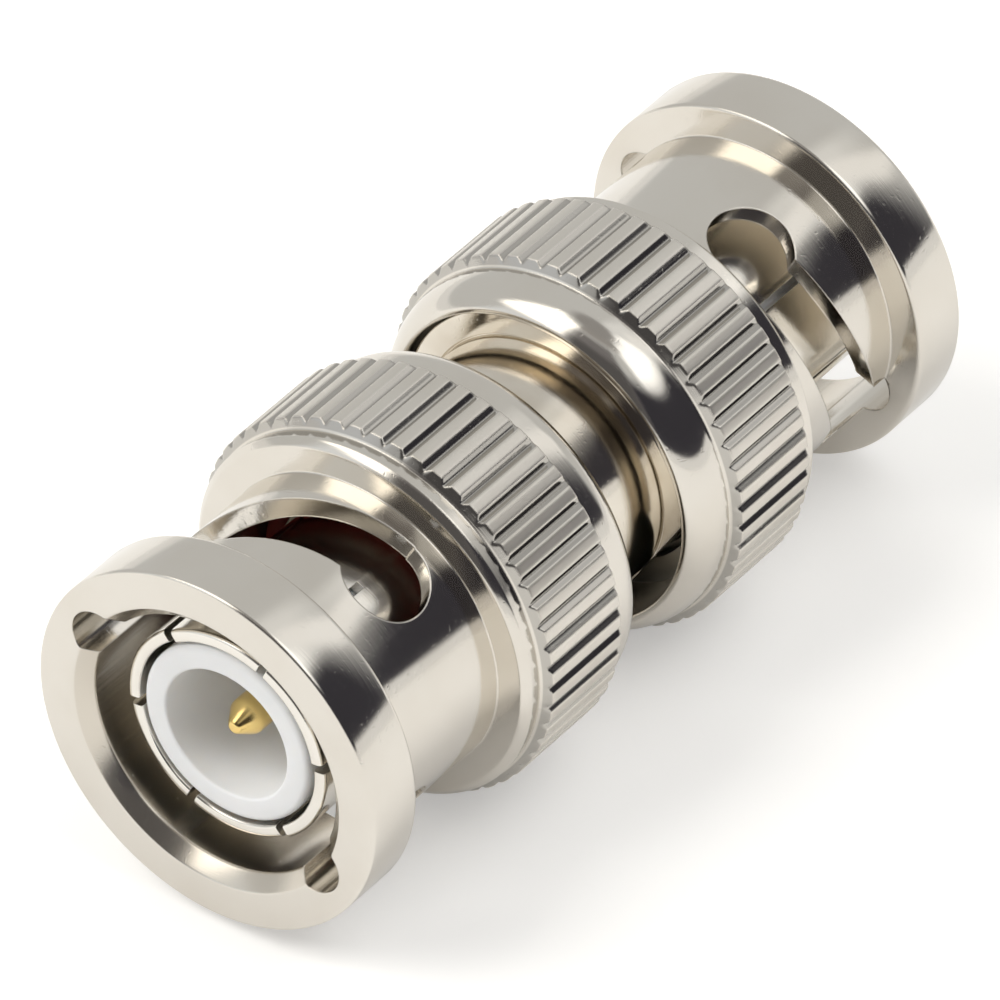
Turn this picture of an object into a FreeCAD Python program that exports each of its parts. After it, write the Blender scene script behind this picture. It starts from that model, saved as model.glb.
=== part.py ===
import FreeCAD, Part
import math
import os

os.makedirs("parts", exist_ok=True)

# All sizes are in millimetres and degrees.
# Depths are counted from a mouth face towards the middle of the adapter.

# Clearances
slide_clearance = 0.02
face_clearance = 0.02
gasket_clearance = 0.03
ring_clearance = 0.02
bore_clearance = 0.125
washer_clearance = 0.1
flange_clearance = 0.05
spigot_gap = 0.1
spring_slack = 0.1
finger_room = 0.095
jack_shell_room = 1.0

# Whole adapter
nut_length = 14.95
middle_length = 3.3
overall_length = 2 * nut_length + middle_length

# Coupling nut, across the axis
bore_dia = 9.95
tube_wall = 0.725
flange_height = 1.225
collar_height = 1.2
knurl_height = 0.4
rear_wall = 0.9
tube_dia = bore_dia + 2 * tube_wall
flange_dia = tube_dia + 2 * flange_height
collar_dia = tube_dia + 2 * collar_height
knurl_dia = collar_dia + 2 * knurl_height
rear_bore_dia = collar_dia - 2 * rear_wall

# Coupling nut, along the axis
mouth_flare = 0.52
flange_length = 2.37
flange_chamfer = 0.2
collar_length = 6.55
collar_chamfer = 0.21
knurl_lead = 0.92
knurl_tail = 0.23
shoulder_length = 1.4
shoulder_radius = 1.83
rear_bore_length = 4.5
collar_start = nut_length - collar_length
knurl_start = collar_start + knurl_lead
shoulder_start = nut_length - shoulder_length
knurl_end = shoulder_start - knurl_tail
rear_bore_start = nut_length - rear_bore_length

# Flutes of the knurl, as deep as the slopes at its ends are long
flute_count = 54
flute_width = 0.42
flute_depth = 0.32
upper_flute_phase = 2.5
lower_flute_phase = 4.7

# Bayonet entry, cam slot and detent hole
cam_starts = 2
channel_width = 2.15
channel_depth = 1.225
channel_end = 4.3
cam_width = 2.5
cam_begin = 3.75
cam_rise = 2.775
cam_flat_angle = 100.0
cam_turn = 90.0
cam_sections = 8
detent_dia = 3.2
detent_depth = 6.09
upper_nut_turn = 5.0
lower_nut_turn = 9.7

# Plug body
shank_dia = bore_dia - 2 * bore_clearance
body_flange_dia = rear_bore_dia - 2 * washer_clearance
body_flange_length = 0.5
body_flange_start = rear_bore_start + flange_clearance
body_flange_end = body_flange_start + body_flange_length
spigot_dia = shank_dia - 1.0

# Spring washers, thrust washer and retaining ring
wave_count = 3
wave_height = 0.35
wave_thickness = 0.12
wave_sections = 24
wave_room = 2 * (face_clearance + wave_thickness) + wave_height + spring_slack
washer_inner_dia = shank_dia + 2 * washer_clearance
washer_outer_dia = rear_bore_dia - 2 * washer_clearance
wave_outer_dia = washer_outer_dia - 2 * washer_clearance
thrust_washer_thickness = 0.2
thrust_washer_start = body_flange_end + wave_room
ring_groove_depth = 0.3
ring_groove_width = 0.42
ring_groove_dia = rear_bore_dia + 2 * ring_groove_depth
ring_groove_start = thrust_washer_start + thrust_washer_thickness + face_clearance
ring_overhang = 0.85
ring_inner_dia = rear_bore_dia - 2 * ring_overhang
ring_gap = 1.6

# Gasket
gasket_dia = shank_dia
gasket_length = 0.95
gasket_start = body_flange_start - flange_clearance - gasket_length

# Outer contact
contact_dia = bore_dia - 2 * jack_shell_room
contact_wall = 0.48
contact_step_height = 0.175
contact_rear_dia = contact_dia + 2 * contact_step_height
contact_start = 1.1
contact_step = gasket_start - 0.1
contact_seat_length = 2.5
contact_end = body_flange_start + contact_seat_length
contact_chamfer = 0.12
finger_count = 6
finger_slot_width = 0.3
finger_slot_length = 5.3
finger_slot_end = contact_start + finger_slot_length
finger_phase = 17.5

# Centre contact
pin_dia = 1.35
pin_step_height = 0.175
pin_rear_dia = pin_dia + 2 * pin_step_height
pin_step_lead = 0.1
pin_start = 1.5
pin_tip_length = 0.72
pin_tip_dia = 0.42
pin_collar_height = 0.25
pin_collar_dia = pin_rear_dia + 2 * pin_collar_height
pin_collar_length = 1.2

# Insulator
insulator_dia = contact_dia - 2 * (contact_wall + finger_room)
insulator_wall = 0.91
insulator_bore_dia = insulator_dia - 2 * insulator_wall
insulator_start = contact_start
insulator_cavity_end = 7.0
insulator_end = (overall_length - pin_collar_length) / 2 - flange_clearance
insulator_chamfer = 0.2

# Centre sleeve, with a flange in the rear opening of each nut and two flats on each flange
sleeve_recess = 0.05
sleeve_flange_length = 1.0
sleeve_flange_end = nut_length - sleeve_recess
sleeve_start = sleeve_flange_end - sleeve_flange_length
sleeve_flange_dia = rear_bore_dia - 2 * washer_clearance
neck_depth = 0.05
neck_dia = shank_dia - 2 * neck_depth
deep_flat = shank_dia / 2
shallow_flat = sleeve_flange_dia / 2 - 0.3
flat_turn = 4.2


def point(radius, depth):
    return FreeCAD.Vector(radius, 0, depth)


def turned(corners):
    # Each corner is (radius, depth). Two more numbers give a point that an arc to it runs through.
    edges = []
    for index in range(len(corners)):
        start = point(*corners[index - 1][:2])
        end = point(*corners[index][:2])
        through = corners[index][2:]
        if through:
            edges.append(Part.Arc(start, point(*through), end).toShape())
        else:
            edges.append(Part.LineSegment(start, end).toShape())
    face = Part.Face(Part.Wire(edges))
    return face.revolve(FreeCAD.Vector(0, 0, 0), FreeCAD.Vector(0, 0, 1), 360)


def turned_about(shape, angle):
    copy = shape.copy()
    copy.rotate(FreeCAD.Vector(0, 0, 0), FreeCAD.Vector(0, 0, 1), angle)
    return copy


def at_upper_end(shape):
    copy = shape.copy()
    copy.rotate(FreeCAD.Vector(0, 0, 0), FreeCAD.Vector(1, 0, 0), 180)
    copy.translate(FreeCAD.Vector(0, 0, overall_length))
    return copy


def on_cylinder(radius, angle, depth):
    turn = math.radians(angle)
    return FreeCAD.Vector(radius * math.cos(turn), radius * math.sin(turn), depth)


def flat_face(corners):
    return Part.Face(Part.makePolygon(corners + corners[:1]))


def nut_blank():
    collar_r = collar_dia / 2
    end_angle = math.asin((nut_length - shoulder_start) / shoulder_radius)
    lip_r = collar_r - shoulder_radius * (1 - math.cos(end_angle))
    mid_r = collar_r - shoulder_radius * (1 - math.cos(end_angle / 2))
    mid_depth = shoulder_start + shoulder_radius * math.sin(end_angle / 2)
    rear_r = rear_bore_dia / 2
    groove_end = ring_groove_start + ring_groove_width
    return turned([
        (bore_dia / 2 + mouth_flare, 0),
        (flange_dia / 2 - flange_chamfer, 0),
        (flange_dia / 2, flange_chamfer),
        (flange_dia / 2, flange_length - flange_chamfer),
        (flange_dia / 2 - flange_chamfer, flange_length),
        (tube_dia / 2, flange_length),
        (tube_dia / 2, collar_start),
        (collar_r - collar_chamfer, collar_start),
        (collar_r, collar_start + collar_chamfer),
        (collar_r, shoulder_start),
        (lip_r, nut_length, mid_r, mid_depth),
        (rear_r, nut_length),
        (rear_r, groove_end),
        (ring_groove_dia / 2, groove_end),
        (ring_groove_dia / 2, ring_groove_start),
        (rear_r, ring_groove_start),
        (rear_r, rear_bore_start),
        (bore_dia / 2, rear_bore_start),
        (bore_dia / 2, mouth_flare),
    ])


def tooth_faces(middle):
    # The land between two flutes, the flute side at each edge of it, and a slope at each end.
    root_r = knurl_dia / 2 - flute_depth
    half_pitch = 180 / flute_count
    half_land = half_pitch - math.degrees(flute_width / knurl_dia)
    root_depths = (knurl_start, knurl_end)
    land_depths = (knurl_start + flute_depth, knurl_end - flute_depth)
    faces = []
    ends = ([], [])
    for side in (-1, 1):
        root = [on_cylinder(root_r, middle + side * half_pitch, depth) for depth in root_depths]
        land = [on_cylinder(knurl_dia / 2, middle + side * half_land, depth) for depth in land_depths]
        faces.append(flat_face([root[0], land[0], land[1], root[1]]))
        for corners, root_corner, land_corner in zip(ends, root, land):
            corners += [root_corner, land_corner][::side]
    faces.append(flat_face([ends[0][0], ends[0][3], ends[1][3], ends[1][0]]))
    return faces + [flat_face(corners) for corners in ends]


def knurl_band(phase):
    pitch = 360 / flute_count
    root_r = knurl_dia / 2 - flute_depth
    angles = [phase + pitch * index for index in range(flute_count)]
    faces = []
    for angle in angles:
        faces += tooth_faces(angle + pitch / 2)
    for depth in (knurl_start, knurl_end):
        faces.append(flat_face([on_cylinder(root_r, angle, depth) for angle in angles]))
    shell = Part.makeShell(faces)
    shell.sewShape()
    wall_middle_r = (collar_dia + ring_groove_dia) / 4
    hole = Part.makeCylinder(wall_middle_r, nut_length)
    return Part.makeSolid(shell).cut(hole)


def cam_depth(angle):
    share = angle / cam_flat_angle
    return cam_begin + cam_rise * (2 * share - share * share)


def cam_section(angle, inner_r, outer_r):
    low = cam_depth(angle) - cam_width / 2
    high = cam_depth(angle) + cam_width / 2
    corners = [point(inner_r, low), point(outer_r, low), point(outer_r, high), point(inner_r, high)]
    return turned_about(Part.makePolygon(corners + corners[:1]), angle)


def cam_cutters():
    inner_r = bore_dia / 2 - flange_chamfer
    outer_r = knurl_dia / 2 + flute_depth
    half = channel_width / 2
    floor_r = bore_dia / 2 + channel_depth - half
    channel_length = channel_end + flange_length
    slot = Part.makeBox(floor_r, channel_width, channel_length, FreeCAD.Vector(0, -half, -flange_length))
    round_end = Part.makeCylinder(half, channel_length, FreeCAD.Vector(floor_r, 0, -flange_length))
    outward = FreeCAD.Vector(1, 0, 0)
    channel_top = Part.makeCylinder(half, outer_r, FreeCAD.Vector(0, 0, channel_end), outward)
    detent = Part.makeCylinder(detent_dia / 2, outer_r, FreeCAD.Vector(0, 0, detent_depth), outward)
    steps = [cam_turn * index / (cam_sections - 1) for index in range(cam_sections)]
    cam = Part.makeLoft([cam_section(angle, inner_r, outer_r) for angle in steps], True, False)
    inner = Part.makeCylinder(inner_r, overall_length, FreeCAD.Vector(0, 0, -flange_length))
    radial = [slot, round_end, channel_top, turned_about(detent, cam_turn)]
    return [cutter.cut(inner) for cutter in radial] + [cam]


def coupling_nut(turn, phase):
    nut = nut_blank().fuse(knurl_band(phase))
    for start in range(cam_starts):
        for cutter in cam_cutters():
            nut = nut.cut(turned_about(cutter, 360 / cam_starts * start))
    return turned_about(nut.removeSplitter(), turn)


def outer_contact():
    outer_r = contact_dia / 2
    rear_r = contact_rear_dia / 2
    inner_r = outer_r - contact_wall
    sleeve = turned([
        (inner_r, contact_start),
        (outer_r - contact_chamfer, contact_start),
        (outer_r, contact_start + contact_chamfer),
        (outer_r, contact_step),
        (rear_r, contact_step),
        (rear_r, contact_end),
        (inner_r, contact_end),
    ])
    corner = FreeCAD.Vector(0, -finger_slot_width / 2, 0)
    slot = Part.makeBox(contact_dia, finger_slot_width, finger_slot_end, corner)
    step = 360 / finger_count
    slots = [turned_about(slot, finger_phase + step * index) for index in range(finger_count)]
    return sleeve.cut(Part.makeCompound(slots))


def insulator():
    outer_r = insulator_dia / 2
    hole_r = pin_rear_dia / 2 + slide_clearance
    return turned([
        (insulator_bore_dia / 2, insulator_start),
        (outer_r - insulator_chamfer, insulator_start),
        (outer_r, insulator_start + insulator_chamfer),
        (outer_r, insulator_end),
        (hole_r, insulator_end),
        (hole_r, insulator_cavity_end),
        (insulator_bore_dia / 2, insulator_cavity_end),
    ])


def gasket():
    inner_r = contact_rear_dia / 2 + gasket_clearance
    outer_r = gasket_dia / 2
    gasket_end = gasket_start + gasket_length
    return turned([
        (inner_r, gasket_start),
        (outer_r, gasket_start),
        (outer_r, gasket_end),
        (inner_r, gasket_end),
    ])


def plug_body():
    shank_r = shank_dia / 2
    shank_end = sleeve_start - face_clearance
    spigot_end = (overall_length - spigot_gap) / 2
    insulator_r = insulator_dia / 2 + slide_clearance
    contact_r = contact_rear_dia / 2
    return turned([
        (contact_r, body_flange_start),
        (body_flange_dia / 2, body_flange_start),
        (body_flange_dia / 2, body_flange_end),
        (shank_r, body_flange_end),
        (shank_r, shank_end),
        (spigot_dia / 2, shank_end),
        (spigot_dia / 2, spigot_end),
        (insulator_r, spigot_end),
        (insulator_r, contact_end),
        (contact_r, contact_end),
    ])


def wave_section(angle, lift):
    inner_r = washer_inner_dia / 2
    outer_r = wave_outer_dia / 2
    height = lift + wave_height / 2 * (1 + math.sin(math.radians(wave_count * angle)))
    top = height + wave_thickness
    corners = [point(inner_r, height), point(outer_r, height), point(outer_r, top), point(inner_r, top)]
    return turned_about(Part.makePolygon(corners + corners[:1]), angle)


def wave_washer(lift):
    steps = [360 * index / wave_sections for index in range(wave_sections)]
    return Part.makeLoft([wave_section(angle, lift) for angle in steps], True, True, True)


def thrust_washer():
    end = thrust_washer_start + thrust_washer_thickness
    return turned([
        (washer_inner_dia / 2, thrust_washer_start),
        (washer_outer_dia / 2, thrust_washer_start),
        (washer_outer_dia / 2, end),
        (washer_inner_dia / 2, end),
    ])


def retaining_ring():
    start = ring_groove_start + ring_clearance
    end = ring_groove_start + ring_groove_width - ring_clearance
    outer_r = ring_groove_dia / 2 - ring_clearance
    ring = turned([
        (ring_inner_dia / 2, start),
        (outer_r, start),
        (outer_r, end),
        (ring_inner_dia / 2, end),
    ])
    corner = FreeCAD.Vector(0, -ring_gap / 2, ring_groove_start)
    return ring.cut(Part.makeBox(ring_groove_dia, ring_gap, ring_groove_width, corner))


def flat_cutter(distance, angle):
    length = overall_length - 2 * sleeve_start
    corner = FreeCAD.Vector(distance, -sleeve_flange_dia, sleeve_start)
    box = Part.makeBox(sleeve_flange_dia, 2 * sleeve_flange_dia, length, corner)
    return turned_about(box, angle)


def centre_sleeve():
    end = overall_length - sleeve_start
    flange_r = sleeve_flange_dia / 2
    sleeve = turned([
        (spigot_dia / 2, sleeve_start),
        (flange_r, sleeve_start),
        (flange_r, sleeve_flange_end),
        (neck_dia / 2, sleeve_flange_end),
        (neck_dia / 2, overall_length - sleeve_flange_end),
        (flange_r, overall_length - sleeve_flange_end),
        (flange_r, end),
        (spigot_dia / 2, end),
    ])
    cutters = [flat_cutter(shallow_flat, flat_turn), flat_cutter(deep_flat, flat_turn + 180)]
    return sleeve.cut(Part.makeCompound(cutters))


def centre_contact():
    middle = overall_length / 2
    half_collar = pin_collar_length / 2
    step = insulator_cavity_end - pin_step_lead
    half = [
        (0, pin_start),
        (pin_tip_dia / 2, pin_start),
        (pin_dia / 2, pin_start + pin_tip_length),
        (pin_dia / 2, step),
        (pin_rear_dia / 2, step),
        (pin_rear_dia / 2, middle - half_collar),
        (pin_collar_dia / 2, middle - half_collar),
    ]
    other_half = [(radius, overall_length - depth) for radius, depth in reversed(half)]
    return turned(half + other_half)


first_wave = body_flange_end + face_clearance
second_wave = first_wave + wave_thickness + face_clearance

end_pieces = {
    "outer_contact": outer_contact(),
    "insulator": insulator(),
    "gasket": gasket(),
    "plug_body": plug_body(),
    "wave_washer_a": wave_washer(first_wave),
    "wave_washer_b": wave_washer(second_wave),
    "thrust_washer": thrust_washer(),
    "retaining_ring": retaining_ring(),
}

for name, shape in end_pieces.items():
    shape.exportStep("parts/lower_" + name + ".step")
    at_upper_end(shape).exportStep("parts/upper_" + name + ".step")

coupling_nut(lower_nut_turn, lower_flute_phase).exportStep("parts/lower_coupling_nut.step")
at_upper_end(coupling_nut(-upper_nut_turn, upper_flute_phase)).exportStep("parts/upper_coupling_nut.step")
centre_sleeve().exportStep("parts/centre_sleeve.step")
centre_contact().exportStep("parts/centre_contact.step")
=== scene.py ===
import math

import bmesh
import bpy
from mathutils import Matrix, Vector


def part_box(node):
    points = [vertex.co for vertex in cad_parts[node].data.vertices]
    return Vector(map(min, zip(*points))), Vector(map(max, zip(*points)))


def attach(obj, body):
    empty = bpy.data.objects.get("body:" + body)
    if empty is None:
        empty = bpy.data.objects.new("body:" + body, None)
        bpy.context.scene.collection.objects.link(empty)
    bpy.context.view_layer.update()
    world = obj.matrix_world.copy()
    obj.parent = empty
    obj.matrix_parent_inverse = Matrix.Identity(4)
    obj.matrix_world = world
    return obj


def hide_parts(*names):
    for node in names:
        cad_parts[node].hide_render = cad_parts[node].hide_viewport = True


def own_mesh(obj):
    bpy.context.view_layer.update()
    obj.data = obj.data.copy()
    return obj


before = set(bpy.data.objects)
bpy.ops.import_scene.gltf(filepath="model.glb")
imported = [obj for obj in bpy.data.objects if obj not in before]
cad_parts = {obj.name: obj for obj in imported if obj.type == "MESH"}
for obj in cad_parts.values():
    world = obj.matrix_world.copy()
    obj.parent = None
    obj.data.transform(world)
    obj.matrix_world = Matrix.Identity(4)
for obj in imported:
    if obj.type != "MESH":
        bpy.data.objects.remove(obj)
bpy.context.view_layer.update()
print("frame loaded")

mm = 0.001
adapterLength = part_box("upper_coupling_nut")[1].z / mm
ends = ("lower", "upper")
mergeDistance = 1e-5     # mm
roundingLimit = 0.45     # share of an edge that the rounding at one of its ends may take
normalWeight = 80


# mesh tools: profiles and outlines in mm, turned about the adapter's axis

def roundedProfile(corners, steps=4):
    # corners are (radius, depth, rounding) in mm; each one becomes a short curve
    points = []
    count = len(corners)
    for i in range(count):
        here = Vector(corners[i][:2])
        rounding = corners[i][2] if len(corners[i]) > 2 else 0
        if rounding <= 0:
            points.append(tuple(here))
            continue
        toLast = Vector(corners[i - 1][:2]) - here
        toNext = Vector(corners[(i + 1) % count][:2]) - here
        start = here + toLast.normalized() * min(rounding, toLast.length * roundingLimit)
        stop = here + toNext.normalized() * min(rounding, toNext.length * roundingLimit)
        for k in range(steps + 1):
            s = k / steps
            points.append(tuple(start * (1 - s) ** 2 + here * 2 * s * (1 - s) + stop * s * s))
    return points


def evenAngles(count):
    return [math.tau * i / count for i in range(count)]


def lathe(points, angles, radiusAt=None):
    # a closed profile turned about Z, as a bmesh in mm; radiusAt may change a point's radius
    bm = bmesh.new()
    rings = []
    for angle in angles:
        ring = []
        for radius, depth in points:
            r = radiusAt(radius, depth, angle) if radiusAt else radius
            ring.append(bm.verts.new((r * math.cos(angle), r * math.sin(angle), depth)))
        rings.append(ring)
    for i, ring in enumerate(rings):
        following = rings[(i + 1) % len(rings)]
        for k in range(len(ring)):
            n = (k + 1) % len(ring)
            bm.faces.new((ring[k], following[k], following[n], ring[n]))
    bmesh.ops.remove_doubles(bm, verts=bm.verts, dist=mergeDistance)
    bmesh.ops.recalc_face_normals(bm, faces=bm.faces)
    return bm


def prism(corners, low, high, matrix):
    # a flat outline, drawn in XY and raised along Z from low to high
    bm = bmesh.new()
    bottom = [bm.verts.new(matrix @ Vector((x, y, low))) for x, y in corners]
    top = [bm.verts.new(matrix @ Vector((x, y, high))) for x, y in corners]
    count = len(corners)
    for i in range(count):
        n = (i + 1) % count
        bm.faces.new((bottom[i], bottom[n], top[n], top[i]))
    bm.faces.new(bottom[::-1])
    bm.faces.new(top)
    bmesh.ops.recalc_face_normals(bm, faces=bm.faces)
    return bm


def swept(sections):
    # joins closed sections of equal count, with a face on each end
    bm = bmesh.new()
    rings = [[bm.verts.new(corner) for corner in section] for section in sections]
    count = len(rings[0])
    for ring, following in zip(rings, rings[1:]):
        for k in range(count):
            n = (k + 1) % count
            bm.faces.new((ring[k], ring[n], following[n], following[k]))
    bm.faces.new(rings[0][::-1])
    bm.faces.new(rings[-1])
    bmesh.ops.recalc_face_normals(bm, faces=bm.faces)
    return bm


def asObject(bm, name):
    mesh = bpy.data.meshes.new(name)
    bm.to_mesh(mesh)
    bm.free()
    piece = bpy.data.objects.new(name, mesh)
    bpy.context.scene.collection.objects.link(piece)
    return piece


def applied(piece):
    # the piece's modifiers become its mesh
    bpy.context.view_layer.update()
    graph = bpy.context.evaluated_depsgraph_get()
    mesh = bpy.data.meshes.new_from_object(piece.evaluated_get(graph))
    piece.modifiers.clear()
    piece.data = mesh
    return piece


def combined(piece, tool, operation):
    # adds or cuts the tool, and removes it
    change = piece.modifiers.new(operation.lower(), "BOOLEAN")
    change.operation = operation
    change.solver = "EXACT"
    change.object = tool
    applied(piece)
    bpy.data.objects.remove(tool)
    return piece


def copyOf(piece, matrix):
    double = piece.copy()
    double.data = piece.data.copy()
    double.data.transform(matrix)
    bpy.context.scene.collection.objects.link(double)
    return double


def aboutAxis(degrees):
    return Matrix.Rotation(math.radians(degrees), 4, "Z")


def placed(piece, end, sharpAngle=32):
    # from mm at the lower end to metres at either end, smooth except at real edges
    place = Matrix.Scale(mm, 4)
    if end == "upper":
        place = place @ Matrix.Translation((0, 0, adapterLength)) @ Matrix.Rotation(math.pi, 4, "X")
    piece.data.transform(place)
    piece.data.shade_smooth()
    piece.data.set_sharp_from_angle(angle=math.radians(sharpAngle))
    weighted = piece.modifiers.new("weightedNormal", "WEIGHTED_NORMAL")
    weighted.keep_sharp = True
    weighted.weight = normalWeight


def finished(piece, node, body, material):
    piece.data.materials.clear()
    piece.data.materials.append(material)
    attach(piece, body)
    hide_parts(node)


# shader tools

bumpDistance = 0.00002    # metres
bevelSamples = 6


def newMaterial(name):
    material = bpy.data.materials.new(name)
    material.use_nodes = True
    nodes = material.node_tree.nodes
    return material, nodes, material.node_tree.links, nodes["Principled BSDF"]


def newGroup(name, inputs, outputs):
    tree = bpy.data.node_groups.new(name, "ShaderNodeTree")
    for label, kind, value in inputs:
        socket = tree.interface.new_socket(label, in_out="INPUT", socket_type="NodeSocket" + kind)
        socket.default_value = value
    for label, kind in outputs:
        tree.interface.new_socket(label, in_out="OUTPUT", socket_type="NodeSocket" + kind)
    start = tree.nodes.new("NodeGroupInput")
    stop = tree.nodes.new("NodeGroupOutput")
    return tree, start, stop


def noise(tree, vector, scale, detail, stretch=None):
    texture = tree.nodes.new("ShaderNodeTexNoise")
    texture.inputs["Scale"].default_value = scale
    texture.inputs["Detail"].default_value = detail
    if stretch:
        mapping = tree.nodes.new("ShaderNodeMapping")
        mapping.inputs["Scale"].default_value = stretch
        tree.links.new(vector, mapping.inputs["Vector"])
        vector = mapping.outputs["Vector"]
    tree.links.new(vector, texture.inputs["Vector"])
    return texture.outputs["Fac"]


def mapped(tree, value, low, high, toLow, toHigh):
    node = tree.nodes.new("ShaderNodeMapRange")
    for label, number in (("From Min", low), ("From Max", high), ("To Min", toLow), ("To Max", toHigh)):
        node.inputs[label].default_value = number
    tree.links.new(value, node.inputs["Value"])
    return node.outputs["Result"]


def maths(tree, operation, a, b):
    node = tree.nodes.new("ShaderNodeMath")
    node.operation = operation
    for socket, value in zip(node.inputs, (a, b)):
        if isinstance(value, (int, float)):
            socket.default_value = value
        else:
            tree.links.new(value, socket)
    return node.outputs["Value"]


def mixedColor(tree, factor, a, b):
    node = tree.nodes.new("ShaderNodeMix")
    node.data_type = "RGBA"
    for socket, value in zip((node.inputs["Factor"], node.inputs["A"], node.inputs["B"]), (factor, a, b)):
        if isinstance(value, (int, float, tuple)):
            socket.default_value = value
        else:
            tree.links.new(value, socket)
    return node.outputs["Result"]


def turnedVector(tree):
    # object position as (angle, radius, depth): marks of turning follow it
    place = tree.nodes.new("ShaderNodeTexCoord")
    parts = tree.nodes.new("ShaderNodeSeparateXYZ")
    tree.links.new(place.outputs["Object"], parts.inputs["Vector"])
    angle = maths(tree, "ARCTAN2", parts.outputs["Y"], parts.outputs["X"])
    squares = [maths(tree, "MULTIPLY", parts.outputs[axis], parts.outputs[axis]) for axis in "XY"]
    radius = maths(tree, "SQRT", maths(tree, "ADD", *squares), 0)
    joined = tree.nodes.new("ShaderNodeCombineXYZ")
    for value, label in zip((angle, radius, parts.outputs["Z"]), "XYZ"):
        tree.links.new(value, joined.inputs[label])
    return joined.outputs["Vector"]


def inwardMask(tree, limits):
    # 1 on faces that look towards the adapter's axis
    place = tree.nodes.new("ShaderNodeTexCoord")
    flat = tree.nodes.new("ShaderNodeVectorMath")
    flat.operation = "MULTIPLY"
    flat.inputs[1].default_value = (1, 1, 0)
    tree.links.new(place.outputs["Object"], flat.inputs[0])
    outward = tree.nodes.new("ShaderNodeVectorMath")
    outward.operation = "DOT_PRODUCT"
    tree.links.new(flat.outputs["Vector"], outward.inputs[0])
    tree.links.new(place.outputs["Normal"], outward.inputs[1])
    return mapped(tree, outward.outputs["Value"], *limits, 1, 0)


def addBump(tree, height, strength, shader):
    bump = tree.nodes.new("ShaderNodeBump")
    bump.inputs["Strength"].default_value = strength
    bump.inputs["Distance"].default_value = bumpDistance
    tree.links.new(height, bump.inputs["Height"])
    tree.links.new(bump.outputs["Normal"], shader.inputs["Normal"])
    return bump


plateMarksLook = {
    "cloudScale": 260, "cloudDetail": 4, "cloudRange": (0.42, 0.72),
    "lineStretch": (2.2, 30000, 30000), "lineDetail": 2,      # along (angle, radius, depth)
    "scratchStretch": (900, 30000, 2500), "scratchDetail": 3, "scratchHeight": 1.6,
    "speckScale": 5200, "speckDetail": 3, "speckRange": (0.6, 0.8),
    "pitRange": (0.62, 0.75), "pitHeight": -0.6,
    "landRange": (-0.00002, 0.000015),                        # metres from the land radius
    "inwardRange": (-0.004, -0.002),                          # metres, outward place times normal
    # the flutes' colour and share below paint shade into the knurl's grooves
    "fluteRange": (0.00696, 0.007), "fluteShadeShare": 0.62, "fluteShadeColor": (0.36, 0.35, 0.33, 1),
    # how much rougher each of these makes the plating
    "stainDull": 0.08, "speckDull": 0.05, "landDull": 0.24, "insideDull": 0.08,
}


def buildPlateMarks(look):
    # turning lines, specks and tarnish on a plated part
    tree, start, stop = newGroup(
        "plateMarks",
        [("Clean", "Color", (1, 1, 1, 1)), ("Tarnish", "Color", (1, 1, 1, 1)),
         ("Amount", "Float", 0.5), ("Roughness", "Float", 0.1), ("Lines", "Float", 0.5),
         ("Land", "Float", 1), ("Inside", "Float", 0)],
        [("Color", "Color"), ("Roughness", "Float"), ("Height", "Float")],
    )
    place = tree.nodes.new("ShaderNodeTexCoord").outputs["Object"]
    turned = turnedVector(tree)
    cloud = noise(tree, place, look["cloudScale"], look["cloudDetail"])
    lines = noise(tree, turned, 1, look["lineDetail"], look["lineStretch"])
    scratches = noise(tree, turned, 1, look["scratchDetail"], look["scratchStretch"])
    specks = noise(tree, place, look["speckScale"], look["speckDetail"])
    parts = tree.nodes.new("ShaderNodeSeparateXYZ")
    tree.links.new(turned, parts.inputs["Vector"])
    radius = parts.outputs["Y"]

    # the knurl's lands are rough, and faces that look inward are duller and take the tarnish colour: tarnish
    # and painted shade inside the bore
    land = mapped(tree, maths(tree, "SUBTRACT", radius, start.outputs["Land"]), *look["landRange"], 0, 1)
    inward = inwardMask(tree, look["inwardRange"])
    inside = maths(tree, "MULTIPLY", inward, start.outputs["Inside"])
    stainAndShade = maths(tree, "MULTIPLY", mapped(tree, cloud, *look["cloudRange"], 0, 1), start.outputs["Amount"])
    # on the inward faces the tarnish colour is partly painted shade of the bore
    stainAndShade = maths(tree, "MAXIMUM", stainAndShade, inside)
    color = mixedColor(tree, stainAndShade, start.outputs["Clean"], start.outputs["Tarnish"])

    # the flutes are painted darker than the lands: painted shade in the grooves
    flute = mapped(tree, radius, *look["fluteRange"], 0, 1)
    flute = maths(tree, "MULTIPLY", flute, mapped(tree, land, 0, 1, look["fluteShadeShare"], 0))
    color = mixedColor(tree, flute, color, look["fluteShadeColor"])
    tree.links.new(color, stop.inputs["Color"])

    speckDull = mapped(tree, specks, *look["speckRange"], 0, look["speckDull"])
    dull = maths(tree, "ADD", maths(tree, "MULTIPLY", stainAndShade, look["stainDull"]), speckDull)
    dull = maths(tree, "ADD", dull, maths(tree, "MULTIPLY", land, look["landDull"]))
    dull = maths(tree, "ADD", dull, maths(tree, "MULTIPLY", inside, look["insideDull"]))
    tree.links.new(maths(tree, "ADD", start.outputs["Roughness"], dull), stop.inputs["Roughness"])

    height = maths(tree, "MULTIPLY", lines, start.outputs["Lines"])
    scratchHeight = maths(tree, "MULTIPLY", scratches, maths(tree, "MULTIPLY", land, look["scratchHeight"]))
    height = maths(tree, "ADD", height, scratchHeight)
    pits = mapped(tree, specks, *look["pitRange"], 0, look["pitHeight"])
    tree.links.new(maths(tree, "ADD", height, pits), stop.inputs["Height"])
    return tree


plateMarks = buildPlateMarks(plateMarksLook)
noLand = 1000    # mm: no surface is beyond it


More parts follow.
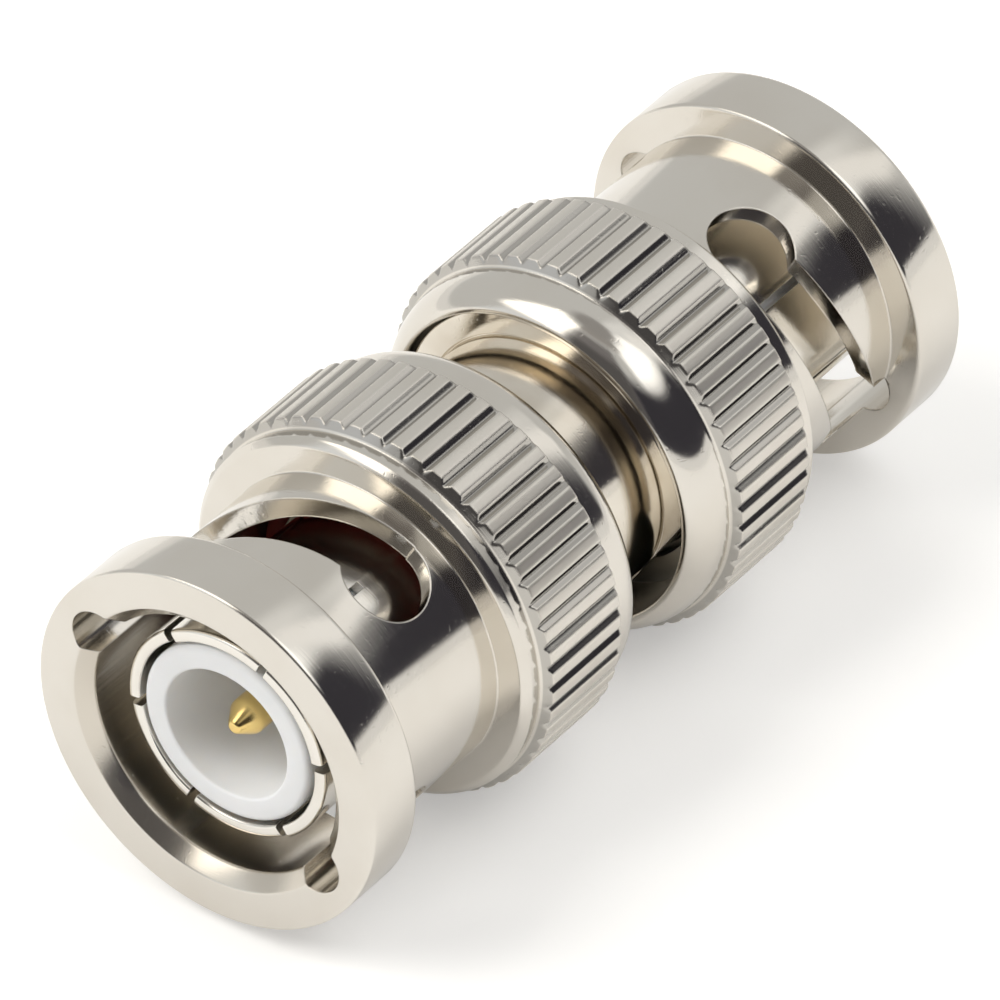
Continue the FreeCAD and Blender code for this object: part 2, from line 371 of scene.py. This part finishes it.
def platedMaterial(name, look):
    material, nodes, links, shader = newMaterial(name)
    marks = nodes.new("ShaderNodeGroup")
    marks.node_tree = plateMarks
    values = {
        "Clean": (*look["clean"], 1), "Tarnish": (*look["tarnish"], 1), "Amount": look["amount"],
        "Roughness": look["roughness"], "Lines": look["lines"],
        "Land": look.get("land", noLand) * mm, "Inside": look.get("inside", 0),
    }
    for label, value in values.items():
        marks.inputs[label].default_value = value
    shader.inputs["Metallic"].default_value = 1
    links.new(marks.outputs["Color"], shader.inputs["Base Color"])
    links.new(marks.outputs["Roughness"], shader.inputs["Roughness"])
    bump = addBump(material.node_tree, marks.outputs["Height"], look["bump"], shader)
    if look.get("edge"):
        edge = nodes.new("ShaderNodeBevel")
        edge.samples = bevelSamples
        edge.inputs["Radius"].default_value = look["edge"] * mm
        links.new(edge.outputs["Normal"], bump.inputs["Normal"])
    return material


# land: radius in mm beyond which the knurl is rough; inside: how strongly the inward faces take the tarnish
# colour, as tarnish and painted shade in the bore;
# edge: radius in mm to which the shading rounds an edge
plateLook = {"clean": (0.77, 0.735, 0.675), "tarnish": (0.66, 0.61, 0.53), "amount": 0.35,
             "roughness": 0.09, "lines": 0.5, "bump": 0.12, "edge": 0.09, "land": 7.27, "inside": 0.9}
coreLook = {"clean": (0.80, 0.75, 0.665), "tarnish": (0.58, 0.50, 0.39), "amount": 0.6,
            "roughness": 0.09, "lines": 0.5, "bump": 0.12, "edge": 0.04}
contactLook = {"clean": (0.88, 0.85, 0.79), "tarnish": (0.74, 0.69, 0.60), "amount": 0.4,
               "roughness": 0.15, "lines": 0.5, "bump": 0.15, "edge": 0.04}
goldLook = {"clean": (0.93, 0.70, 0.28), "tarnish": (0.80, 0.55, 0.18), "amount": 0.4,
            "roughness": 0.16, "lines": 0.4, "bump": 0.1}
springLook = {"clean": (0.60, 0.58, 0.54), "tarnish": (0.42, 0.38, 0.32), "amount": 0.5,
              "roughness": 0.3, "lines": 0.8, "bump": 0.3}
nutPlate = platedMaterial("nutPlate", plateLook)
corePlate = platedMaterial("corePlate", coreLook)
contactPlate = platedMaterial("contactPlate", contactLook)
pinGold = platedMaterial("pinGold", goldLook)
springSteel = platedMaterial("springSteel", springLook)


softMarks = {"detail": 3, "cloudRange": (0.35, 0.7), "grainRange": (0.3, 0.7), "roughnessSpread": 0.06,
             "scatterRadius": (1, 0.9, 0.8), "scatterScale": 0.0004}


def softMaterial(name, look):
    material, nodes, links, shader = newMaterial(name)
    tree = material.node_tree
    place = nodes.new("ShaderNodeTexCoord").outputs["Object"]
    cloud = noise(tree, place, look["cloudScale"], softMarks["detail"])
    grain = noise(tree, place, look["grainScale"], softMarks["detail"])
    share = mapped(tree, cloud, *softMarks["cloudRange"], 0, 1)
    color = mixedColor(tree, share, (*look["color"], 1), (*look["shade"], 1))
    links.new(color, shader.inputs["Base Color"])
    spread = softMarks["roughnessSpread"]
    limits = (look["roughness"] - spread, look["roughness"] + spread)
    links.new(mapped(tree, grain, *softMarks["grainRange"], *limits), shader.inputs["Roughness"])
    shader.inputs["Specular IOR Level"].default_value = look["specular"]
    shader.inputs["Subsurface Weight"].default_value = look["depth"]
    shader.inputs["Subsurface Radius"].default_value = softMarks["scatterRadius"]
    shader.inputs["Subsurface Scale"].default_value = softMarks["scatterScale"]
    addBump(tree, grain, look["bump"], shader)
    return material


plasticLook = {"color": (0.90, 0.91, 0.92), "shade": (0.86, 0.87, 0.88),
               "cloudScale": 300, "grainScale": 4000,
               "roughness": 0.42, "specular": 0.4, "depth": 0.25, "bump": 0.12}
rubberLook = {"color": (0.30, 0.035, 0.025), "shade": (0.20, 0.02, 0.015),
              "cloudScale": 500, "grainScale": 6000,
              "roughness": 0.5, "specular": 0.4, "depth": 0.0, "bump": 0.25}
whitePlastic = softMaterial("whitePlastic", plasticLook)
redRubber = softMaterial("redRubber", rubberLook)
print("materials ready")


# coupling nuts

nutShape = {
    "length": 14.95, "bore": 9.95, "tube": 11.4, "flange": 13.85, "collar": 13.8, "knurl": 14.6,
    "rearBore": 12.0, "flangeLength": 2.37, "collarStart": 8.4, "collarChamfer": 0.21, "mouthFlare": 0.52,
    "slopeStart": 9.15, "slopeEnd": 13.38, "slopeLength": 0.23,
    "slopePoints": (0, 0.06, 0.12, 0.17, 0.21, 0.25, 0.3, 0.4, 0.6),
    "shoulderStart": {"lower": 13.55, "upper": 14.0}, "shoulderRadius": {"lower": 1.83, "upper": 1.05},
    "shoulderSteps": 10,
    "rearBoreStart": 10.45, "grooveStart": 11.95, "grooveWidth": 0.42, "groove": 12.6,
    "edge": 0.07, "softEdge": 0.16, "rimEdge": 0.06, "fillet": 0.05, "rearFillet": 0.1,
}
fluteShape = {
    "count": 54, "halfAngle": 1.648, "rootRadius": 7.1, "rootRound": 0.09, "blend": 0.016,
    "phase": {"lower": 4.7, "upper": 2.5},
    "steps": (0, 0.13, 0.8, 1.34, 1.55, 1.72, 1.98, 2.5),    # degrees from a flute's middle
}
camShape = {
    "channelWidth": 2.15, "channelReach": 6.2, "channelEnd": 4.3, "camWidth": 2.5, "camBegin": 3.75,
    "camRise": 2.775, "flatAngle": 100, "turn": 90, "sections": 36, "detent": 3.2, "detentDepth": 6.09,
    "inner": 4.2, "outer": 8.5, "nutTurn": {"lower": 9.7, "upper": -5.0},
    "channelSteps": 24, "circlePoints": 64,
    # these keep the tools' edges and faces off one another
    "channelTurn": 0.3, "channelPast": 0.13, "detentPast": 0.21, "circlePhase": 0.03,
    "slotStart": 1.1, "slotShort": 2.3,
}


def nutProfile(shape, end):
    edge = shape["edge"]
    soft = shape["softEdge"]
    fillet = shape["fillet"]
    bore = shape["bore"] / 2
    tube = shape["tube"] / 2
    flange = shape["flange"] / 2
    collar = shape["collar"] / 2
    knurl = shape["knurl"] / 2
    rear = shape["rearBore"] / 2
    groove = shape["groove"] / 2
    grooveEnd = shape["grooveStart"] + shape["grooveWidth"]
    front = [
        (bore + shape["mouthFlare"], 0, edge), (flange, 0, soft), (flange, shape["flangeLength"], soft),
        (tube, shape["flangeLength"], fillet), (tube, shape["collarStart"], fillet),
        (collar - shape["collarChamfer"], shape["collarStart"], edge),
        (collar, shape["collarStart"] + shape["collarChamfer"], edge),
    ]
    # the depths of the knurl's rings; their radius comes from flutedRadius
    slopes = [(knurl, shape["slopeStart"] + step) for step in shape["slopePoints"]]
    slopes += [(knurl, shape["slopeEnd"] - step) for step in reversed(shape["slopePoints"])]
    start = shape["shoulderStart"][end]
    radius = shape["shoulderRadius"][end]
    swing = math.asin((shape["length"] - start) / radius)
    shoulder = []
    for k in range(shape["shoulderSteps"] + 1):
        a = swing * k / shape["shoulderSteps"]
        shoulder.append((collar - radius * (1 - math.cos(a)), start + radius * math.sin(a)))
    shoulder[-1] += (shape["rimEdge"],)
    inside = [
        (rear, shape["length"], shape["rearFillet"]), (rear, grooveEnd), (groove, grooveEnd),
        (groove, shape["grooveStart"]), (rear, shape["grooveStart"]), (rear, shape["rearBoreStart"], fillet),
        (bore, shape["rearBoreStart"], fillet), (bore, shape["mouthFlare"], edge),
    ]
    return roundedProfile(front + slopes + shoulder + inside)


def fluteAngles(flutes):
    pitch = math.tau / flutes["count"]
    offsets = [-math.radians(step) for step in flutes["steps"][:0:-1]]
    offsets += [math.radians(step) for step in flutes["steps"]]
    offsets.append(pitch / 2)
    return [pitch * i + offset for i in range(flutes["count"]) for offset in offsets]


def softMin(values, blend):
    # the smallest value, rounded where two of them are about equal
    low = min(values)
    return low - blend * math.log(sum(math.exp((low - value) / blend) for value in values))


def flutedRadius(flutes, shape):
    pitch = math.tau / flutes["count"]
    land = shape["knurl"] / 2
    collar = shape["collar"] / 2
    depth = land - flutes["rootRadius"]
    steepness = (land - collar) / shape["slopeLength"]

    def radiusAt(radius, z, angle):
        if radius < land:
            return radius
        off = abs((angle + pitch / 2) % pitch - pitch / 2)
        share = math.degrees(off) / flutes["halfAngle"]
        flank = flutes["rootRadius"] + depth * math.hypot(share, flutes["rootRound"])
        cone = collar + steepness * min(z - shape["slopeStart"], shape["slopeEnd"] - z)
        return softMin((land, flank, cone), flutes["blend"])

    return radiusAt


def camDepth(cam, angle):
    # the middle of the cam slot, which climbs ever less along the turn
    share = angle / cam["flatAngle"]
    return cam["camBegin"] + cam["camRise"] * (2 * share - share * share)


def camTool(cam):
    # one bayonet entry with its channel, cam slot and locking hole
    half = cam["channelWidth"] / 2
    floor = cam["channelReach"] - half
    steps = cam["channelSteps"]
    channel = [(cam["inner"], -half), (floor, -half)]
    for k in range(1, steps):
        a = math.pi * k / steps
        channel.append((floor + half * math.sin(a), -half * math.cos(a)))
    channel += [(floor, half), (cam["inner"], half)]
    tool = asObject(prism(channel, -1, cam["channelEnd"], Matrix.Identity(4)), "camTool")
    outward = Matrix.Rotation(math.radians(90), 4, "Y")
    holes = (
        (half, cam["channelEnd"], cam["channelTurn"], cam["channelPast"]),
        (cam["detent"] / 2, cam["detentDepth"], cam["turn"], cam["detentPast"]),
    )
    angles = [angle + cam["circlePhase"] for angle in evenAngles(cam["circlePoints"])]
    for radius, depth, turn, past in holes:
        circle = [(radius * math.cos(a), radius * math.sin(a)) for a in angles]
        place = aboutAxis(turn) @ Matrix.Translation((0, 0, depth)) @ outward
        hole = asObject(prism(circle, cam["inner"] - past, cam["outer"] + past, place), "hole")
        combined(tool, hole, "UNION")
    sections = []
    for k in range(cam["sections"] + 1):
        angle = cam["slotStart"] + (cam["turn"] - cam["slotShort"]) * k / cam["sections"]
        low = camDepth(cam, angle) - cam["camWidth"] / 2
        high = low + cam["camWidth"]
        turn = aboutAxis(angle)
        corners = ((cam["inner"], low), (cam["outer"], low), (cam["outer"], high), (cam["inner"], high))
        sections.append([turn @ Vector((r, 0, z)) for r, z in corners])
    return combined(tool, asObject(swept(sections), "slot"), "UNION")


def buildNut(end):
    blank = lathe(nutProfile(nutShape, end), fluteAngles(fluteShape), flutedRadius(fluteShape, nutShape))
    nut = asObject(blank, end + "_nut_fine")
    nut.data.transform(aboutAxis(fluteShape["phase"][end]))
    tool = camTool(camShape)
    other = copyOf(tool, aboutAxis(180))
    combined(nut, tool, "DIFFERENCE")
    combined(nut, other, "DIFFERENCE")
    nut.data.transform(aboutAxis(camShape["nutTurn"][end]))
    placed(nut, end)
    finished(nut, end + "_coupling_nut", end + "_nut", nutPlate)
    print(end, "nut built,", len(nut.data.polygons), "faces")


for end in ends:
    buildNut(end)


# contacts, insulators, gaskets, plug bodies, pin and sleeve

contactShape = {
    "outer": 7.95, "wall": 0.48, "rear": 8.3, "start": 1.1, "step": 9.4, "end": 13.0,
    "tip": 0.2, "innerTip": 0.12, "stepFillet": 0.03, "stepEdge": 0.05, "segments": 240,
    "fingers": 6, "slot": 0.3, "slotEnd": 6.4, "phase": 17.5, "sawPast": 0.5,
    # how far each finger is bent outward at its tip, and how the bend grows along it
    "bends": {"lower": (0.03, 0.05, 0.02, 0.06, 0.04, 0.03), "upper": (0.03, 0.03, 0.12, 0.05, 0.04, 0.12)},
    "bendPower": 1.5,
}
insulatorShape = {
    "outer": 6.8, "bore": 4.98, "hole": 1.74, "start": 1.1, "cavity": 7.0, "end": 15.95, "segments": 240,
    "edge": 0.25, "boreEdge": 0.12, "rearEdge": 0.1, "holeEdge": 0.05, "cavityFillet": 0.15,
}
gasketShape = {"outer": 9.7, "inner": 8.36, "start": 9.5, "end": 10.45, "edge": 0.2, "otherEdges": 0.05,
               "segments": 200}
bodyShape = {
    "shank": 9.7, "flange": 11.8, "flangeStart": 10.5, "flangeEnd": 11.0, "shankEnd": 13.88,
    "spigot": 8.7, "spigotEnd": 16.55, "inner": 6.84, "contact": 8.3, "contactEnd": 13.0,
    "edge": 0.08, "flangeEdge": 0.05, "segments": 240,
}
pinShape = {
    "pin": 1.35, "rear": 1.7, "collar": 2.2, "start": 1.5, "tipLength": 0.72, "tip": 0.42,
    "step": 6.9, "collarStart": 16.0, "tipEdge": 0.12, "stepEdge": 0.04, "segments": 96,
}
sleeveShape = {
    "neck": 9.74, "inner": 8.7, "flange": 11.7, "start": 13.9, "flangeLength": 0.54, "edge": 0.06,
    # the tool's relief where the neck meets each flange: its size, and the shares at its floor
    "reliefWidth": 0.09, "reliefDepth": 0.12, "floorWidth": 0.6, "floorDepth": 0.8, "reliefEdge": 0.02,
    "flat": 4.88, "flatAngle": 184.5,    # distance from the axis, and which way it faces
    "segments": 300, "sharpAngle": 17,
}
waveShape = {
    "inner": 9.9, "outer": 11.6, "start": {"a": 11.02, "b": 11.16}, "thickness": 0.12, "edge": 0.03,
    "height": 0.35, "waves": 3, "segments": 180,
    "seat": 11.0, "keep": 0.58,          # the depth that they press on, and how tall they stay
}


def buildContact(end, shape):
    outer = shape["outer"] / 2
    inner = outer - shape["wall"]
    rear = shape["rear"] / 2
    corners = [
        (inner, shape["start"], shape["innerTip"]), (outer, shape["start"], shape["tip"]),
        (outer, shape["step"], shape["stepFillet"]), (rear, shape["step"], shape["stepEdge"]),
        (rear, shape["end"]), (inner, shape["end"]),
    ]
    turned = lathe(roundedProfile(corners), evenAngles(shape["segments"]))
    contact = asObject(turned, end + "_contact_fine")
    half = shape["slot"] / 2
    near = inner - shape["sawPast"]
    far = rear + shape["sawPast"]
    saw = [(near, -half), (far, -half), (far, half), (near, half)]
    span = 360 / shape["fingers"]
    for k in range(shape["fingers"]):
        turn = aboutAxis(shape["phase"] + span * k)
        combined(contact, asObject(prism(saw, 0, shape["slotEnd"], turn), "saw"), "DIFFERENCE")
    for vert in contact.data.vertices:
        share = max(0, (shape["slotEnd"] - vert.co.z) / (shape["slotEnd"] - shape["start"]))
        angle = math.degrees(math.atan2(vert.co.y, vert.co.x))
        finger = int((angle - shape["phase"]) % 360 / span)
        radius = math.hypot(vert.co.x, vert.co.y)
        stretch = 1 + shape["bends"][end][finger] * share ** shape["bendPower"] / radius
        vert.co.x *= stretch
        vert.co.y *= stretch
    placed(contact, end)
    finished(contact, end + "_outer_contact", "core", contactPlate)


def buildInsulator(end, shape):
    corners = [
        (shape["bore"] / 2, shape["start"], shape["boreEdge"]),
        (shape["outer"] / 2, shape["start"], shape["edge"]),
        (shape["outer"] / 2, shape["end"], shape["rearEdge"]), (shape["hole"] / 2, shape["end"]),
        (shape["hole"] / 2, shape["cavity"], shape["holeEdge"]),
        (shape["bore"] / 2, shape["cavity"], shape["cavityFillet"]),
    ]
    turned = lathe(roundedProfile(corners, steps=6), evenAngles(shape["segments"]))
    insulator = asObject(turned, end + "_insulator_fine")
    placed(insulator, end)
    finished(insulator, end + "_insulator", "core", whitePlastic)


def buildGasket(end, shape):
    inner = shape["inner"] / 2
    outer = shape["outer"] / 2
    small = shape["otherEdges"]
    corners = [
        (inner, shape["start"], small), (outer, shape["start"], shape["edge"]),
        (outer, shape["end"], small), (inner, shape["end"], small),
    ]
    turned = lathe(roundedProfile(corners, steps=5), evenAngles(shape["segments"]))
    gasket = asObject(turned, end + "_gasket_fine")
    placed(gasket, end)
    finished(gasket, end + "_gasket", "core", redRubber)


def buildBody(end, shape):
    flangeEdge = shape["flangeEdge"]
    corners = [
        (shape["contact"] / 2, shape["flangeStart"]), (shape["flange"] / 2, shape["flangeStart"], flangeEdge),
        (shape["flange"] / 2, shape["flangeEnd"], flangeEdge), (shape["shank"] / 2, shape["flangeEnd"]),
        (shape["shank"] / 2, shape["shankEnd"], shape["edge"]), (shape["spigot"] / 2, shape["shankEnd"]),
        (shape["spigot"] / 2, shape["spigotEnd"]), (shape["inner"] / 2, shape["spigotEnd"]),
        (shape["inner"] / 2, shape["contactEnd"]), (shape["contact"] / 2, shape["contactEnd"]),
    ]
    body = asObject(lathe(roundedProfile(corners), evenAngles(shape["segments"])), end + "_body_fine")
    placed(body, end)
    finished(body, end + "_plug_body", "core", corePlate)


def mirrored(corners):
    # the same corners at the adapter's other end
    return [(radius, adapterLength - depth, *rest) for radius, depth, *rest in reversed(corners)]


def buildPin(shape):
    tipEdge = shape["tipEdge"]
    stepEdge = shape["stepEdge"]
    half = [
        (0, shape["start"]), (shape["tip"] / 2, shape["start"], tipEdge),
        (shape["pin"] / 2, shape["start"] + shape["tipLength"], tipEdge), (shape["pin"] / 2, shape["step"]),
        (shape["rear"] / 2, shape["step"], stepEdge), (shape["rear"] / 2, shape["collarStart"]),
        (shape["collar"] / 2, shape["collarStart"], stepEdge),
    ]
    turned = lathe(roundedProfile(half + mirrored(half), steps=6), evenAngles(shape["segments"]))
    pin = asObject(turned, "pin_fine")
    placed(pin, "lower")
    finished(pin, "centre_contact", "core", pinGold)


def buildSleeve(shape):
    inner = shape["inner"] / 2
    flange = shape["flange"] / 2
    neck = shape["neck"] / 2
    face = shape["start"] + shape["flangeLength"]
    width = shape["reliefWidth"]
    depth = shape["reliefDepth"]
    small = shape["reliefEdge"]
    half = [
        (inner, shape["start"]), (flange, shape["start"], shape["edge"]), (flange, face, shape["edge"]),
        (neck + width, face, small), (neck + width * shape["floorWidth"], face - depth, small),
        (neck, face - depth * shape["floorDepth"], small),
    ]
    turned = lathe(roundedProfile(half + mirrored(half), steps=6), evenAngles(shape["segments"]))
    sleeve = asObject(turned, "sleeve_fine")
    side = [(shape["flat"], -flange), (flange + 1, -flange), (flange + 1, flange), (shape["flat"], flange)]
    low = shape["start"] - 1
    high = adapterLength - shape["start"] + 1
    cutter = prism(side, low, high, aboutAxis(shape["flatAngle"]))
    combined(sleeve, asObject(cutter, "flat"), "DIFFERENCE")
    placed(sleeve, "lower", shape["sharpAngle"])
    finished(sleeve, "centre_sleeve", "core", corePlate)


def buildWaveWasher(end, which, shape):
    # a flat ring bent into waves
    inner = shape["inner"] / 2
    outer = shape["outer"] / 2
    low = shape["start"][which]
    high = low + shape["thickness"]
    edge = shape["edge"]
    corners = [(inner, low, edge), (outer, low, edge), (outer, high, edge), (inner, high, edge)]
    turned = lathe(roundedProfile(corners), evenAngles(shape["segments"]))
    washer = asObject(turned, end + "_wave_" + which + "_fine")
    for vert in washer.data.vertices:
        angle = math.atan2(vert.co.y, vert.co.x)
        vert.co.z += shape["height"] / 2 * (1 + math.sin(shape["waves"] * angle))
    placed(washer, end)
    finished(applied(washer), end + "_wave_washer_" + which, "core", springSteel)
    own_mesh(washer)


for end in ends:
    buildContact(end, contactShape)
    buildInsulator(end, insulatorShape)
    buildGasket(end, gasketShape)
    buildBody(end, bodyShape)
    for which in waveShape["start"]:
        buildWaveWasher(end, which, waveShape)
buildPin(pinShape)
buildSleeve(sleeveShape)
print("inner pieces built")

for end in ends:
    for part in ("thrust_washer", "retaining_ring"):
        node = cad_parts[end + "_" + part]
        node.data.materials.clear()
        node.data.materials.append(springSteel)
print("springs and rings dressed")


# floor, light and camera

studio = {
    "upAngle": -54.2,       # which way is up, as an angle about the adapter's axis
    "floorRadius": 7.31,    # the floor touches the knurls
    "floorSize": 600,
    "floorColor": (0.80, 0.79, 0.77, 1),
    "floorRoughness": 0.9,
    "floorGlow": 0.34,      # light of its own where the camera sees the floor
    "floorShine": 0.15,     # and where the metal mirrors it
    "room": (0.61, 0.61, 0.60),
    # what stands round the object: direction and height in degrees, as seen from the floor,
    # with 0 towards the camera and 90 to its right; then how soft the sides are, and the colour
    "panels": (
        ("darkRoom", (-14, 104), (-5, 43), 12, (0.042, 0.04, 0.048)),
        ("darkLeft", (-52, -4), (-5, 66), 8, (0.20, 0.19, 0.19)),
        ("darkLeftLow", (-52, -4), (-5, 50), 8, (0.105, 0.10, 0.10)),
        ("topSoftbox", (20, 140), (46, 76), 12, (0.85, 0.85, 0.84)),
        ("topSoftboxMiddle", (20, 104), (47, 75), 12, (1.6, 1.59, 1.56)),
        ("rightSoftbox", (108, 124), (32, 60), 6, (1.0, 0.99, 0.97)),
        ("zenith", (-60, 30), (69, 95), 6, (0.34, 0.325, 0.31)),
        ("zenithBack", (-181, 181), (77, 95), 6, (0.32, 0.31, 0.30)),
        ("leftSoftbox", (-104, -57), (33, 71), 6, (2.2, 2.12, 1.98)),
        ("leftSoftboxLow", (-92, -62), (-5, 33), 10, (0.84, 0.86, 0.88)),
    ),
    "sweepHeight": 5,       # the floor curves up to this height, in degrees
    "sweepSoft": 1,
    "sweep": (0.84, 0.83, 0.81),
    # lamps: direction and height in degrees, distance and size in mm, power in watts
    "lamps": (
        ("leftLamp", -76, 47, 800, 460, 2.72),
        ("topLamp", 80, 66, 800, 560, 1.27),
    ),
}
cameraView = {
    "place": (-0.011, -358.60, 299.43),
    "right": (-0.65074, -0.46981, -0.59651),
    "up": (0.75930, -0.40264, -0.51122),
    "back": (0, -0.78560, 0.61874),
    "lens": 490.0,
    "sensor": 36,
    "clip": (0.01, 10),
}
up = aboutAxis(studio["upAngle"]) @ Vector((1, 0, 0))
cameraBack = Vector(cameraView["back"])
toCamera = (cameraBack - up * cameraBack.dot(up)).normalized()
toRight = up.cross(toCamera)


def buildFloor(look):
    size = look["floorSize"] / 2
    bm = bmesh.new()
    side = up.cross(Vector((0, 0, 1)))
    centre = -up * look["floorRadius"] + Vector((0, 0, adapterLength / 2))
    corners = [bm.verts.new((centre + side * size * a + Vector((0, 0, size * b))) * mm)
               for a, b in ((-1, -1), (-1, 1), (1, 1), (1, -1))]
    bm.faces.new(corners)
    floor = asObject(bm, "floor")
    material, nodes, links, shader = newMaterial("paleFloor")
    shader.inputs["Base Color"].default_value = look["floorColor"]
    shader.inputs["Roughness"].default_value = look["floorRoughness"]
    path = nodes.new("ShaderNodeLightPath")
    tree = material.node_tree
    seen = maths(tree, "MULTIPLY", path.outputs["Is Camera Ray"], look["floorGlow"])
    shown = maths(tree, "MAXIMUM", path.outputs["Is Glossy Ray"], path.outputs["Is Transmission Ray"])
    glow = nodes.new("ShaderNodeEmission")
    shine = maths(tree, "MULTIPLY", shown, look["floorShine"])
    links.new(maths(tree, "ADD", seen, shine), glow.inputs["Strength"])
    total = nodes.new("ShaderNodeAddShader")
    links.new(shader.outputs["BSDF"], total.inputs[0])
    links.new(glow.outputs["Emission"], total.inputs[1])
    # from below, the object is seen through the floor
    clear = nodes.new("ShaderNodeBsdfTransparent")
    oneWay = nodes.new("ShaderNodeMixShader")
    links.new(nodes.new("ShaderNodeNewGeometry").outputs["Backfacing"], oneWay.inputs[0])
    links.new(total.outputs["Shader"], oneWay.inputs[1])
    links.new(clear.outputs["BSDF"], oneWay.inputs[2])
    links.new(oneWay.outputs["Shader"], nodes["Material Output"].inputs["Surface"])
    floor.data.materials.append(material)


def buildWorld(look):
    world = bpy.data.worlds.new("studio")
    bpy.context.scene.world = world
    world.use_nodes = True
    tree = world.node_tree
    direction = tree.nodes.new("ShaderNodeTexCoord").outputs["Generated"]

    def along(vector):
        node = tree.nodes.new("ShaderNodeVectorMath")
        node.operation = "DOT_PRODUCT"
        tree.links.new(direction, node.inputs[0])
        node.inputs[1].default_value = vector
        return node.outputs["Value"]

    height = maths(tree, "MULTIPLY", maths(tree, "ARCSINE", along(up), 0), 180 / math.pi)
    around = maths(tree, "ARCTAN2", along(toRight), along(toCamera))
    around = maths(tree, "MULTIPLY", around, 180 / math.pi)

    def inside(value, limits, soft):
        above = mapped(tree, value, limits[0] - soft / 2, limits[0] + soft / 2, 0, 1)
        below = mapped(tree, value, limits[1] - soft / 2, limits[1] + soft / 2, 1, 0)
        return maths(tree, "MULTIPLY", above, below)

    color = (*look["room"], 1)
    for name, azimuths, heights, soft, panelColor in look["panels"]:
        mask = maths(tree, "MULTIPLY", inside(around, azimuths, soft), inside(height, heights, soft))
        color = mixedColor(tree, mask, color, (*panelColor, 1))
    limits = (look["sweepHeight"] + look["sweepSoft"], look["sweepHeight"] - look["sweepSoft"])
    sweep = mapped(tree, height, *limits, 0, 1)
    color = mixedColor(tree, sweep, color, (*look["sweep"], 1))
    # the picture's ground is white, whatever stands there for the metal
    seen = tree.nodes.new("ShaderNodeLightPath").outputs["Is Camera Ray"]
    tree.links.new(mixedColor(tree, seen, color, (1, 1, 1, 1)), tree.nodes["Background"].inputs["Color"])


def buildLamp(name, azimuth, height, distance, size, power):
    lamp = bpy.data.lights.new(name, "AREA")
    lamp.size = size * mm
    lamp.energy = power
    holder = bpy.data.objects.new(name, lamp)
    bpy.context.scene.collection.objects.link(holder)
    a = math.radians(azimuth)
    h = math.radians(height)
    way = (toCamera * math.cos(a) + toRight * math.sin(a)) * math.cos(h) + up * math.sin(h)
    holder.location = (Vector((0, 0, adapterLength / 2)) + way * distance) * mm
    holder.rotation_euler = way.to_track_quat("Z", "Y").to_euler()
    holder.visible_glossy = False    # the world's panels are what the metal shows


def buildCamera(view):
    camera = bpy.data.objects.new("camera", bpy.data.cameras.new("camera"))
    bpy.context.scene.collection.objects.link(camera)
    axes = Matrix((view["right"], view["up"], view["back"])).transposed().to_4x4()
    camera.matrix_world = Matrix.Translation(Vector(view["place"]) * mm) @ axes
    camera.data.lens = view["lens"]
    camera.data.sensor_width = view["sensor"]
    camera.data.clip_start, camera.data.clip_end = view["clip"]
    bpy.context.scene.camera = camera


buildFloor(studio)
buildWorld(studio)
for lampValues in studio["lamps"]:
    buildLamp(*lampValues)
buildCamera(cameraView)
bpy.context.scene.view_settings.view_transform = "Standard"
print("studio ready")
